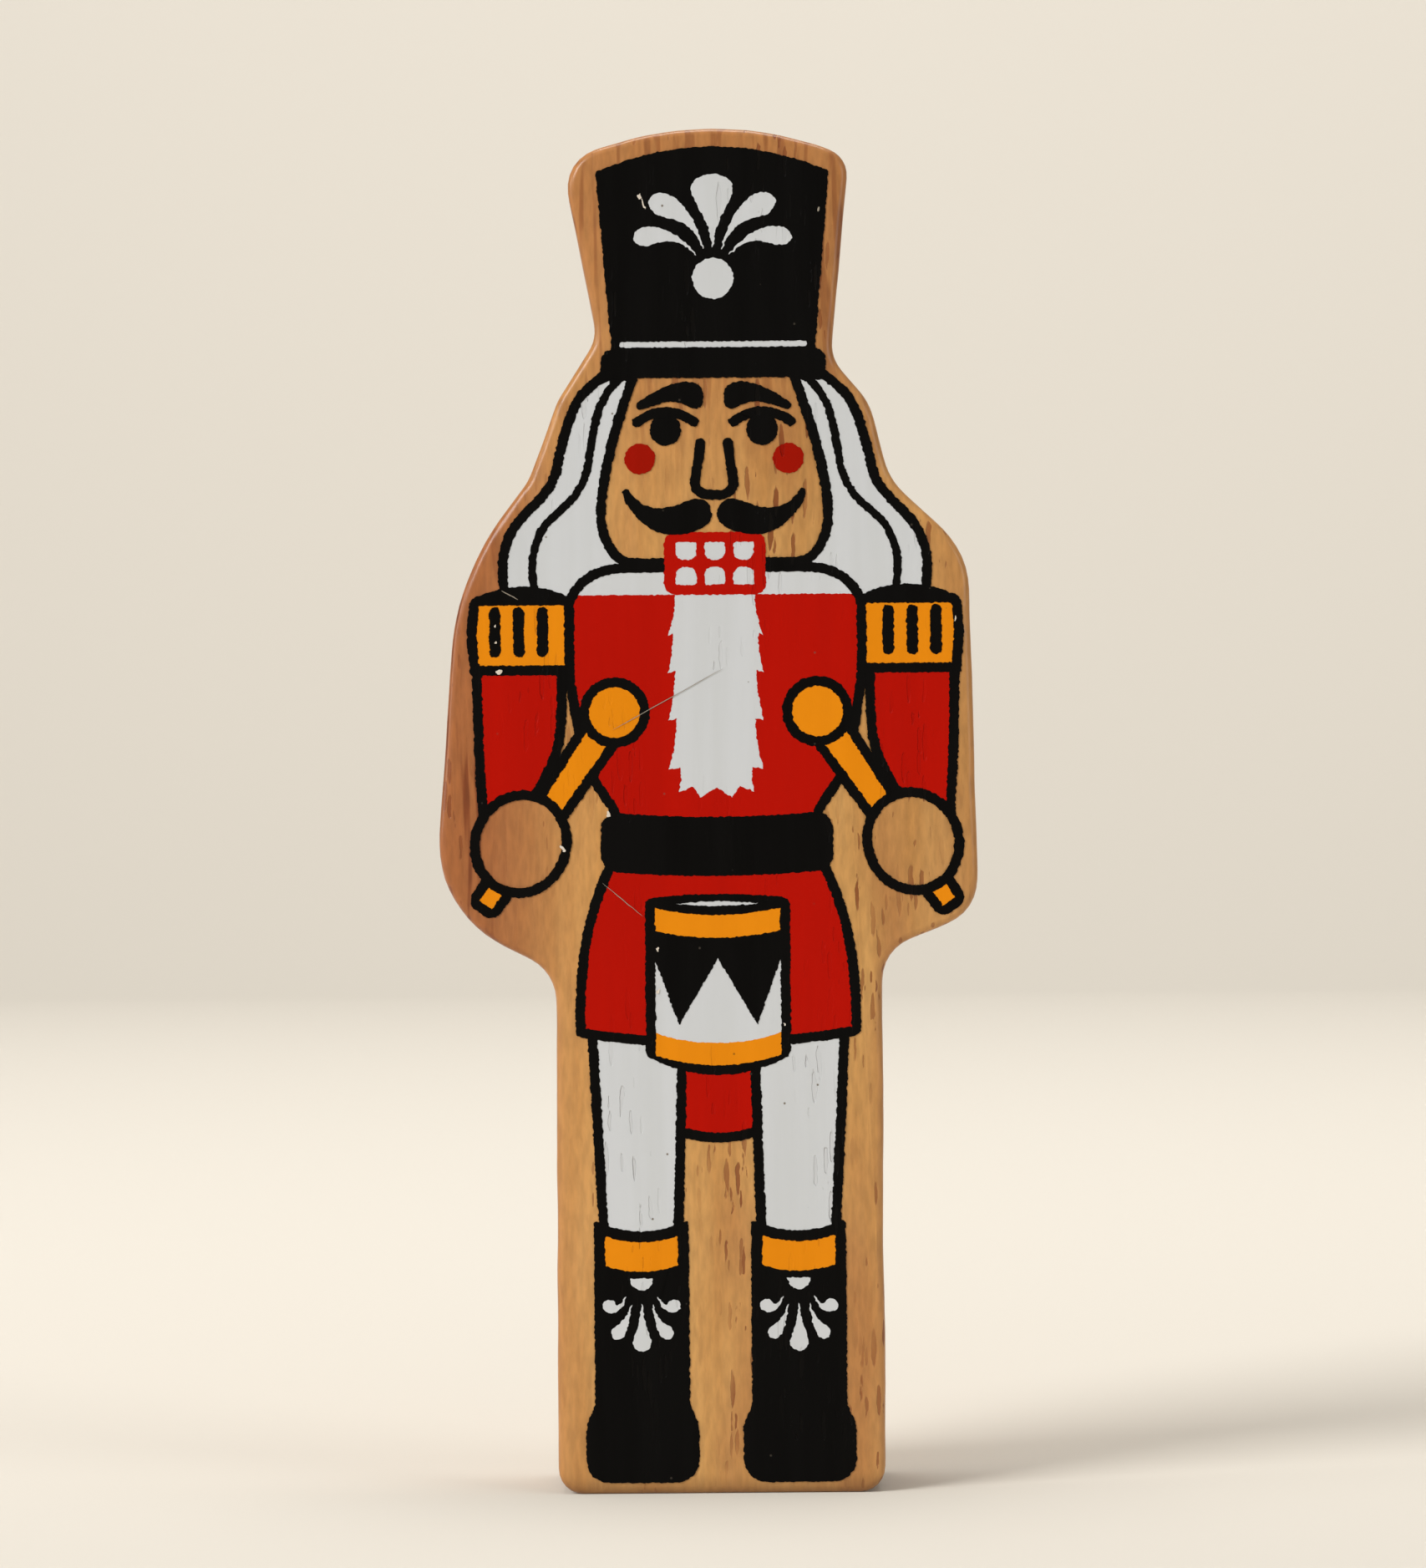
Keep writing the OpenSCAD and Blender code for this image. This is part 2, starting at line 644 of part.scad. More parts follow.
// Eyebrow and half moustache from the middle outwards, as shares of their own width and height
brow_edge = loop(in_box(
    [
        [0, 0.44], [0.03, 0.13], [0.13, 0.02], [0.31, 0.2], [0.51, 0.29], [0.73, 0.15], [0.96, 0],
        [0.99, 0.2], [0.84, 0.47], [0.63, 0.76], [0.41, 0.96], [0.19, 1], [0.04, 0.8]
    ],
    [brow_gap / 2, brow_z], [brow_gap / 2 + brow_w, brow_z + brow_h]
));
moustache_edge = loop(in_box(
    [
        [0.005, 0.5], [0.01, 0.33], [0.08, 0.18], [0.24, 0.04], [0.475, 0], [0.695, 0.14], [0.873, 0.45],
        [0.972, 0.73], [1, 0.935], [0.956, 1], [0.895, 0.85], [0.773, 0.656], [0.61, 0.57], [0.44, 0.613],
        [0.287, 0.72], [0.155, 0.775], [0.05, 0.69]
    ],
    [moustache_gap / 2, moustache_z], [moustache_gap / 2 + moustache_w, moustache_z + moustache_h]
));

iris = [eyes_apart / 2, eye_z];
eyelid_edge = ribbon(
    [
        iris + [-eyelid_w / 2, eyelid_z],
        each [for (p = dipping(eyelid_w / 2, eyelid_z, -eyelid_rise, -1)) iris + [p.x, p.y]],
        iris + [eyelid_w / 2, eyelid_z]
    ],
    line_w
);

// The nose from the middle of its tip up its right side
nose_half = in_box(
    [[0.38, 0], [0.76, 0.06], [1, 0.22], [0.84, 0.6], [0.71, 1]], [0, nose_z], [nose_w / 2, nose_z + nose_h]
);
nose_edge = ribbon(curve(concat(across(nose_half), [[0, nose_z]], nose_half)), line_w);

mouth_edge = panel(mouth_w / 2, collar_z, collar_z + mouth_h, mouth_corner_r, mouth_corner_r);
tooth_edge = panel(tooth_w / 2, 0, tooth_h, ink_corner_r, tooth_w / 2 - ink_corner_r);

band_edge = panel(band_w / 2, band_z, crown_z, ink_corner_r, band_corner_r);
crown_edge = rounded(concat(
    [[-crown_bottom_w / 2, crown_z, 0], [crown_bottom_w / 2, crown_z, 0]],
    [[crown_top_w / 2, crown_top, crown_corner_r]],
    dipping(crown_top_w / 2, crown_top, -crown_rise, 1),
    [[-crown_top_w / 2, crown_top, crown_corner_r]]
));
cord_edge = ribbon([for (x = [-1, 1]) [x * (cord_w - cord_t) / 2, crown_z + cord_rise]], cord_t);

// Petals of the hat, from the middle of the dot: root, bend, tip and width
dot_z = crown_z + dot_rise;
hat_petals = [
    [[0.95, 3.05], [2.1, 7.15], [6.45, 7.95], 2.2],
    [[1.7, 2.45], [4.3, 5.45], [8.05, 3.95], 1.75]
];
hat_drop = [[0, 3.2], [0, 6.6], [0, 10.65], 4.05];

// Corners marked on the board around the print, from the foot up one side to the hat
side_x = max(boot_x + foot_w / 2, skirt_w / 2) + margin;
elbow = [hand.x + hand_w / 2 + margin, butt.y - 0.25 * margin];
hair_low = by_hair([[0.5, 0.465]])[0] + close_margin * [1.4, -0.4];
hair_high = by_hair([[0.33, 0.18]])[0] + close_margin * [1, 1];
hat_corner = [crown_top_w / 2 + 1.15 * margin, crown_top + 0.75 * margin];
marks = [
    [side_x, 0],
    [side_x, elbow.y - armpit_drop],
    elbow,
    [epaulette_end + close_margin, collar_z + shoulder_rise],
    hair_low,
    hair_high,
    [band_w / 2 + 0.8 * close_margin, crown_z],
    hat_corner
];

// How far out and up from each mark the saw went, because it was guided by hand
left_slips = [
    [0.2, 0], [0, -1.6], [1.9, 0.5], [-0.1, -2.5], [0.7, 0], [-0.2, 0], [-0.5, 1.3], [1.3, 0]
];
right_slips = [
    [0.2, 0], [0.3, 0.4], [-0.4, 0.2], [-0.5, -0.1], [-0.5, 0], [-0.2, -0.2], [-0.3, -0.9], [-0.1, 0]
];
function sawn(slips, elbow_r, shoulder_r, top_r) =
    let (radii = [base_corner_r, armpit_r, elbow_r, shoulder_r, hair_r, hair_r, neck_r, top_r])
    [for (i = [0 : len(marks) - 1]) [each marks[i] + slips[i], radii[i]]];

// Outline of the blank, up the right side, over the hat and down the left side
blank_edge = rounded(concat(
    sawn(right_slips, right_elbow_r, right_shoulder_r, right_top_r),
    dipping(hat_corner.x, hat_corner.y, hat_corner.y - figure_h, 1),
    across(sawn(left_slips, left_elbow_r, left_shoulder_r, left_top_r))
));

// Inset and depth of each ring of points, from the front face round the edge to the back face
front_rings = [
    for (k = [0 : edge_steps])
        let (a = 90 * (1 - k / edge_steps))
        [edge_r * (1 - cos(a)), edge_r * (1 - sin(a)) - blank_t / 2]
];
rings = concat(front_rings, [for (g = reversed(front_rings)) [g[0], -g[1]]]);

// Areas covered by the pieces that lie over others

module on_side(side) {
    mirror([side < 0 ? 1 : 0, 0]) children();
}

module both_sides() {
    for (side = [-1, 1]) on_side(side) children();
}

module hair_front() {
    polygon(face_edge);
    polygon(coat_edge);
    polygon(band_edge);
    both_sides() epaulette_area();
}

module epaulette_area() {
    polygon(epaulette_body);
    polygon(dome_edge);
}

module gold_area() {
    difference() {
        polygon(gold_edge);
        for (i = [-1 : 1]) polygon(slot_edge(i));
    }
}

module ball_area(inset = 0) {
    translate(ball) circle(d = ball_d - 2 * inset);
}

module stick_area() {
    polygon(stick_edge);
    ball_area();
}

module stick_yellow_area() {
    difference() {
        polygon(stick_inside);
        ball_area();
        polygon(hand_edge);
    }
    ball_area(line_w);
}

module coat_front() {
    polygon(face_edge);
    polygon(mouth_edge);
    polygon(belt_edge);
    both_sides() {
        epaulette_area();
        stick_area();
        polygon(sleeve_edge);
    }
}

module tail_front() {
    polygon(skirt_edge);
    polygon(drum_edge);
    both_sides() polygon(leg_edge);
}

module leg_front() {
    polygon(skirt_edge);
    polygon(drum_edge);
    both_sides() translate([boot_x, 0]) polygon(boot_edge);
}

module petal_area(p) {
    polygon(petal(p[0], p[1], p[2], p[3]));
}

module hat_ornament_area() {
    translate([0, dot_z]) {
        circle(d = dot_d);
        petal_area(hat_drop);
        both_sides() for (p = hat_petals) petal_area(p);
    }
}

module boot_ornament_area() {
    translate([0, stud_z]) {
        difference() {
            circle(d = stud_d);
            translate([-stud_d / 2, 0]) square(stud_d);
        }
        petal_area(boot_drop);
        both_sides() for (p = boot_petals) petal_area(p);
    }
}

module teeth_area() {
    for (i = [-1 : 1]) translate([i * tooth_pitch, 0]) {
        translate([0, collar_z + gum_h]) polygon(tooth_edge);
        translate([0, collar_z + mouth_h - gum_h]) mirror([0, 1]) polygon(tooth_edge);
    }
}

// What is drawn in the face stays inside its outline
module on_face() {
    difference() {
        intersection() {
            polygon(inset(face_edge, line_w));
            children();
        }
        polygon(band_edge);
    }
}

// One layer of ink on the front face of the blank
module film(tint) {
    color(tint)
        translate([0, -blank_t / 2, 0])
            rotate([90, 0, 0])
                linear_extrude(ink_t)
                    children();
}

// The pieces

module wood_blank() {
    n = len(blank_edge);
    top = (n - 1) / 2;
    last = len(rings) - 1;
    // Each flat face is a ladder of strips between the two sides, closed by a triangle at the top
    rungs = concat(
        [for (i = [0 : top - 2]) [i, i + 1, n - 2 - i, n - 1 - i]],
        [[top - 1, top, top + 1]]
    );
    color(wood)
        polyhedron(
            points = [for (g = rings, p = inset(blank_edge, g[0])) [p.x, g[1], p.y]],
            faces = concat(
                [for (rung = rungs) reversed(rung)],
                [
                    for (r = [0 : last - 1], i = [0 : n - 1])
                        let (j = (i + 1) % n)
                        [r * n + i, r * n + j, (r + 1) * n + j, (r + 1) * n + i]
                ],
                [for (rung = rungs) [for (i = rung) last * n + i]]
            )
        );
}

module hat_crown() {
    film(black) difference() {
        polygon(crown_edge);
        polygon(cord_edge);
        hat_ornament_area();
    }
}

module hat_band() {
    film(black) polygon(band_edge);
}

module hat_cord() {
    film(white) intersection() {
        polygon(cord_edge);
        polygon(crown_edge);
    }
}

module hat_ornament() {
    film(white) intersection() {
        hat_ornament_area();
        polygon(crown_edge);
    }
}

module hair(side) {
    film(white) on_side(side) difference() {
        polygon(inset(hair_edge, line_w));
        polygon(lock_line);
        hair_front();
    }
}

module hair_line(side) {
    film(black) on_side(side) difference() {
        union() {
            difference() {
                polygon(hair_edge);
                polygon(inset(hair_edge, line_w));
            }
            polygon(lock_line);
        }
        hair_front();
    }
}

module face_line() {
    film(black) difference() {
        polygon(face_edge);
        polygon(inset(face_edge, line_w));
        polygon(band_edge);
        polygon(mouth_edge);
    }
}

module eyebrow(side) {
    film(black) on_side(side) on_face() polygon(brow_edge);
}

module eye(side) {
    film(black) on_side(side) on_face() difference() {
        union() {
            polygon(eyelid_edge);
            translate(iris) circle(d = iris_d);
        }
        polygon(brow_edge);
    }
}

module cheek(side) {
    film(red) on_side(side) on_face() translate([cheeks_apart / 2, cheek_z]) circle(d = cheek_d);
}

module nose() {
    film(black) on_face() difference() {
        polygon(nose_edge);
        both_sides() polygon(moustache_edge);
    }
}

module moustache(side) {
    film(black) on_side(side) on_face() polygon(moustache_edge);
}

module mouth() {
    film(red) difference() {
        polygon(mouth_edge);
        teeth_area();
        both_sides() polygon(moustache_edge);
    }
}

module teeth() {
    film(white) difference() {
        intersection() {
            teeth_area();
            polygon(mouth_edge);
        }
        both_sides() polygon(moustache_edge);
    }
}

module collar() {
    film(white) difference() {
        polygon(inset(coat_edge, line_w));
        translate([-big / 2, collar_z - big]) square(big);
        coat_front();
    }
}

module beard() {
    film(white) difference() {
        polygon(beard_edge);
        polygon(belt_edge);
        both_sides() stick_area();
    }
}

module coat() {
    film(red) difference() {
        polygon(inset(coat_edge, line_w));
        translate([-big / 2, collar_z]) square(big);
        polygon(beard_edge);
        coat_front();
    }
}

module coat_line() {
    film(black) difference() {
        polygon(coat_edge);
        polygon(inset(coat_edge, line_w));
        coat_front();
    }
}

module epaulette(side) {
    film(yellow) on_side(side) gold_area();
}

module epaulette_line(side) {
    film(black) on_side(side) difference() {
        epaulette_area();
        gold_area();
    }
}

module sleeve(side) {
    film(red) on_side(side) difference() {
        polygon(inset(sleeve_edge, line_w));
        epaulette_area();
        stick_area();
        polygon(hand_edge);
    }
}

module sleeve_line(side) {
    film(black) on_side(side) difference() {
        polygon(sleeve_edge);
        polygon(inset(sleeve_edge, line_w));
        epaulette_area();
        stick_area();
        polygon(hand_edge);
    }
}

module hand_line(side) {
    film(black) on_side(side) difference() {
        polygon(hand_edge);
        polygon(inset(hand_edge, line_w));
    }
}

module drumstick(side) {
    film(yellow) on_side(side) stick_yellow_area();
}

module drumstick_line(side) {
    film(black) on_side(side) difference() {
        stick_area();
        stick_yellow_area();
        polygon(hand_edge);
    }
}

module belt() {
    film(black) difference() {
        polygon(belt_edge);
        polygon(drum_edge);
    }
}

module skirt() {
    film(red) difference() {
        polygon(inside(skirt_corners, line_w));
        polygon(belt_edge);
        polygon(drum_edge);
    }
}

module skirt_line() {
    film(black) difference() {
        polygon(skirt_edge);
        polygon(inside(skirt_corners, line_w));
        polygon(belt_edge);
        polygon(drum_edge);
    }
}

module drum_body() {
    film(black) difference() {
        polygon(drum_edge);
        polygon(upper_hoop_edge);
        polygon(lower_hoop_edge);
        polygon(shell_edge);
        polygon(skin_edge);
    }
}

module drum_hoops() {
    film(yellow) {
        polygon(upper_hoop_edge);
        polygon(lower_hoop_edge);
    }
}

module drum_shell() {
    film(white) difference() {
        polygon(shell_edge);
        polygon(upper_hoop_edge);
    }
}

module drum_skin() {
    film(white) polygon(skin_edge);
}

module coat_tail() {
    film(red) difference() {
        polygon(inset(tail_edge, line_w));
        tail_front();
    }
}

module coat_tail_line() {
    film(black) difference() {
        polygon(tail_edge);
        polygon(inset(tail_edge, line_w));
        tail_front();
    }
}

module leg(side) {
    film(white) on_side(side) difference() {
        polygon(inset(leg_edge, line_w));
        leg_front();
    }
}

module leg_line(side) {
    film(black) on_side(side) difference() {
        polygon(leg_edge);
        polygon(inset(leg_edge, line_w));
        leg_front();
    }
}

module boot(side) {
    film(black) on_side(side) translate([boot_x, 0]) difference() {
        polygon(boot_edge);
        polygon(cuff_edge);
        boot_ornament_area();
    }
}

module boot_cuff(side) {
    film(yellow) on_side(side) translate([boot_x, 0]) intersection() {
        polygon(cuff_edge);
        polygon(boot_edge);
    }
}

module boot_ornament(side) {
    film(white) on_side(side) translate([boot_x, 0]) intersection() {
        boot_ornament_area();
        polygon(boot_edge);
    }
}

wood_blank();
hat_crown();
hat_band();
hat_cord();
hat_ornament();
hair(-1);  // left_hair
hair(1);  // right_hair
hair_line(-1);  // left_hair_line
hair_line(1);  // right_hair_line
face_line();
eyebrow(-1);  // left_eyebrow
eyebrow(1);  // right_eyebrow
eye(-1);  // left_eye
eye(1);  // right_eye
cheek(-1);  // left_cheek
cheek(1);  // right_cheek
nose();
moustache(-1);  // left_moustache
moustache(1);  // right_moustache
mouth();
teeth();
collar();
beard();
coat();
coat_line();
epaulette(-1);  // left_epaulette
epaulette(1);  // right_epaulette
epaulette_line(-1);  // left_epaulette_line
epaulette_line(1);  // right_epaulette_line
sleeve(-1);  // left_sleeve
sleeve(1);  // right_sleeve
sleeve_line(-1);  // left_sleeve_line
sleeve_line(1);  // right_sleeve_line
hand_line(-1);  // left_hand_line
hand_line(1);  // right_hand_line
drumstick(-1);  // left_drumstick
drumstick(1);  // right_drumstick
drumstick_line(-1);  // left_drumstick_line
drumstick_line(1);  // right_drumstick_line
belt();
skirt();
skirt_line();
drum_body();
drum_hoops();
drum_shell();
drum_skin();
coat_tail();
coat_tail_line();
leg(-1);  // left_leg
leg(1);  // right_leg
leg_line(-1);  // left_leg_line
leg_line(1);  // right_leg_line
boot(-1);  // left_boot
boot(1);  // right_boot
boot_cuff(-1);  // left_boot_cuff
boot_cuff(1);  // right_boot_cuff
boot_ornament(-1);  // left_boot_ornament
boot_ornament(1);  // right_boot_ornament
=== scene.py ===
"""A flat wooden toy soldier with a drum: one sawn and varnished blank, and a worn print in four inks."""
import json
import math

import bmesh
import bpy
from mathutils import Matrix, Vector


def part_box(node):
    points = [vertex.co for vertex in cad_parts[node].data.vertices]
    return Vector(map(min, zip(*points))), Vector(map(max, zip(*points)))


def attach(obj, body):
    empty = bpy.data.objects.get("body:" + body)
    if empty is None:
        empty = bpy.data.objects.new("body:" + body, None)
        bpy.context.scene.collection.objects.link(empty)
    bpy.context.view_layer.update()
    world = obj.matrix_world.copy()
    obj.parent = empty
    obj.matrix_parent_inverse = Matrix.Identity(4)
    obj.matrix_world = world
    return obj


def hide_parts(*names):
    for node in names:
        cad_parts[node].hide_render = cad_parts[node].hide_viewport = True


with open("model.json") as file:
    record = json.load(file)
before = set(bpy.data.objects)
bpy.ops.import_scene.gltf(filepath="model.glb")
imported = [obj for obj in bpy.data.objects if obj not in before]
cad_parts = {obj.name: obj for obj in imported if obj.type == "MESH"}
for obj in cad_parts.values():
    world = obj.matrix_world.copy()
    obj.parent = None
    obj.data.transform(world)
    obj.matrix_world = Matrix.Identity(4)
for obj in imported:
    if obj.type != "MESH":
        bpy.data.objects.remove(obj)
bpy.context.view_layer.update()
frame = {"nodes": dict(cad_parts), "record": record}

# Sizes are millimetres unless a name says otherwise
MM = 0.001

# The photograph's height and the figure's height in its pixels, its lean, and what lies in the middle
PHOTO_H, FIGURE_PIXELS = 1877, 1636
LEAN_DEGREES = 0.44
VIEW_X, VIEW_Z = -0.36, 72.7
CAMERA_AWAY = 600

blank_low, blank_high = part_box("wood_blank")
FIGURE_H = (blank_high.z - blank_low.z) / MM
FRONT_Y = blank_low.y / MM


def linear(colour):
    """An sRGB hex colour as linear red, green, blue and alpha."""
    parts = [int(colour[i:i + 2], 16) / 255 for i in (1, 3, 5)]
    return [p / 12.92 if p <= 0.04045 else ((p + 0.055) / 1.055) ** 2.4 for p in parts] + [1]


def per_mm(x, y, z):
    """Pattern scale for features of these sizes in millimetres."""
    return 1 / (x * MM), 1 / (y * MM), 1 / (z * MM)


# Sockets of a Mix node that blends colours
SHARE, UNDER, OVER, BLENDED = 0, 6, 7, 2
SMOOTH = {"interpolation_type": "SMOOTHSTEP"}


def add(tree, kind, inputs=(), **settings):
    """Add one shader node with its settings, and give its sockets values or links to other nodes."""
    node = tree.nodes.new("ShaderNode" + kind)
    for name, value in settings.items():
        setattr(node, name, value)
    for socket, value in dict(inputs).items():
        if isinstance(value, bpy.types.Node):
            value = value.outputs[BLENDED if value.bl_idname == "ShaderNodeMix" else 0]
        if isinstance(value, bpy.types.NodeSocket):
            tree.links.new(value, node.inputs[socket])
        else:
            node.inputs[socket].default_value = value
    return node


def new_material(name):
    """An empty material and its node tree."""
    material = bpy.data.materials.new(name)
    material.use_nodes = True
    material.node_tree.nodes.clear()
    return material, material.node_tree


# Rubberwood grain: it wanders from side to side, and open pores are cut through at the surface as rough
# dashes 2 to 5 mm long, in loose groups and crowded round the right hand. Real fibres are too fine to show,
# so they are drawn about ten times as coarse
BEND_SIZE, BEND_BY = (9, 9, 22), (1.6 * MM, 1.6 * MM, 0)
ROUGH_SIZE, ROUGH_BY = (0.5, 0.5, 1.2), (0.3 * MM, 0.3 * MM, 1.5 * MM)
STREAK_SIZE = (2.6, 2.6, 48)
FIBRE_SIZE = (0.32, 0.32, 5)
PORE_CELL = (0.56, 0.56, 4)
# Share of the cells without a pore, and the least and most of a cell that a pore takes up
PORELESS, NARROWEST, WIDEST = 0.2, 0.001, 0.56
# Share of a pore inside its rim, and how dark the palest one is
PORE_FLOOR, PALEST_PORE = 0.8, 0.6
GROUP_SIZE, GROUP_FADE, PALEST_GROUP = (6, 6, 20), (0.46, 0.64), 0.1
CROWD_MIDDLE, CROWD_R = (18, 52), 17


def grain(tree):
    """The wood's own pattern, in bare wood and under ink: place, bent place, streaks, fibres and pores."""
    place = add(tree, "TexCoord").outputs["Object"]
    bend_place = add(tree, "Mapping", {"Vector": place, "Scale": per_mm(*BEND_SIZE)})
    bend = add(tree, "TexNoise", {"Vector": bend_place, "Scale": 1, "Detail": 1}).outputs["Color"]
    bent = add(tree, "VectorMath", {0: bend, 1: BEND_BY, 2: place}, operation="MULTIPLY_ADD")
    rough_place = add(tree, "Mapping", {"Vector": place, "Scale": per_mm(*ROUGH_SIZE)})
    rough = add(tree, "TexNoise", {"Vector": rough_place, "Scale": 1}).outputs["Color"]
    roughened = add(tree, "VectorMath", {0: rough, 1: ROUGH_BY, 2: bent}, operation="MULTIPLY_ADD")

    streak_place = add(tree, "Mapping", {"Vector": bent, "Scale": per_mm(*STREAK_SIZE)})
    streaks = add(tree, "TexNoise", {"Vector": streak_place, "Scale": 1, "Detail": 3})
    fibre_place = add(tree, "Mapping", {"Vector": bent, "Scale": per_mm(*FIBRE_SIZE)})
    fibres = add(tree, "TexNoise", {"Vector": fibre_place, "Scale": 1})

    # Each cell of the pattern holds one pore or none, of its own width and darkness
    pore_place = add(tree, "Mapping", {"Vector": roughened, "Scale": per_mm(*PORE_CELL)})
    cells = add(tree, "TexVoronoi", {"Vector": pore_place, "Scale": 1})
    chance = add(tree, "SeparateColor", {"Color": cells.outputs["Color"]})
    width = add(tree, "MapRange", {
        "Value": chance.outputs[0], "From Min": PORELESS, "To Min": NARROWEST, "To Max": WIDEST})
    reach = add(tree, "Math", {0: cells, 1: width}, operation="DIVIDE")
    depth = add(tree, "MapRange", {"Value": reach, "From Min": 1, "From Max": PORE_FLOOR}, **SMOOTH)
    group_place = add(tree, "Mapping", {"Vector": place, "Scale": per_mm(*GROUP_SIZE)})
    group = add(tree, "TexNoise", {"Vector": group_place, "Scale": 1, "Detail": 1})
    grouped = add(tree, "MapRange", {
        "Value": group, "From Min": GROUP_FADE[0], "From Max": GROUP_FADE[1],
        "To Min": PALEST_GROUP}, **SMOOTH)
    crowd_x, crowd_z = CROWD_MIDDLE
    away = add(tree, "VectorMath", {
        0: place, 1: (crowd_x * MM, FRONT_Y * MM, crowd_z * MM)}, operation="DISTANCE").outputs["Value"]
    crowded = add(tree, "MapRange", {"Value": away, "From Min": CROWD_R * MM, "From Max": 0}, **SMOOTH)
    gathered = add(tree, "Math", {0: grouped, 1: crowded}, operation="MAXIMUM")
    darkness = add(tree, "MapRange", {"Value": chance.outputs[1], "To Min": PALEST_PORE})
    strength = add(tree, "Math", {0: gathered, 1: darkness}, operation="MULTIPLY")
    pores = add(tree, "Math", {0: depth, 1: strength}, operation="MULTIPLY")
    return place, bent, streaks, fibres, pores


def relief(tree, raised, raised_height, sunken, sunken_depth):
    """Bump of one raised and one sunken pattern, with their height and depth in millimetres."""
    bump = add(tree, "Bump", {"Height": raised, "Strength": 1, "Distance": raised_height * MM})
    return add(tree, "Bump", {
        "Height": sunken, "Strength": 1, "Distance": sunken_depth * MM, "Normal": bump}, invert=True)


# The noise that lies between these two values gives a streak its whole range, and the sheen its roughness
STREAK_FADE, SHEEN_FADE = (0.3, 0.7), (0.2, 0.8)

# Bare wood: where it starts to turn red towards the sides and the top end, where it is reddest, and how red
RED_LEFT = (-10, -25)
RED_RIGHT, RIGHT_SHARE = (16, 27), 0.3
RED_TOP, TOP_SHARE = (90, 130), 0.65
PATCH_SIZE, PATCH_FADE, PATCH_SHARE = (10, 10, 34), (0.44, 0.72), 0.5
# Depth behind the front over which the redness fades, and what is left of it there
HEARTWOOD_DEPTH, FADED = 4, 0.5
RING_SIZE, RING_FADE = (1, 1, 15), (0.52, 0.64)
RINGED_LEFT = (-20, -26)
RINGED_TOP, TOP_RING_SHARE = (98, 125), 0.5
CURL_SIZE, CURL_FADE, MOTTLE = (0.6, 0.6, 2.4), (0.36, 0.64), (0.89, 1.08)
PORE_SHARE = 0.9
# The edges and sides, darker from varnish soaked into sanded wood and from painted shade on the roundover;
# the painted shadow along the foot; and the relief of the curly figure and the pores
SANDED_AND_SHADED_DEPTH, SANDED_AND_SHADED_TINT = 0.7, (0.86, 0.8, 0.75)
FOOT_H, FOOT_SHADOW_SHARE = 2.4, 0.6
CURL_HEIGHT, PORE_DEPTH = 0.03, 0.07
WOOD_ROUGHNESS = (0.36, 0.5)


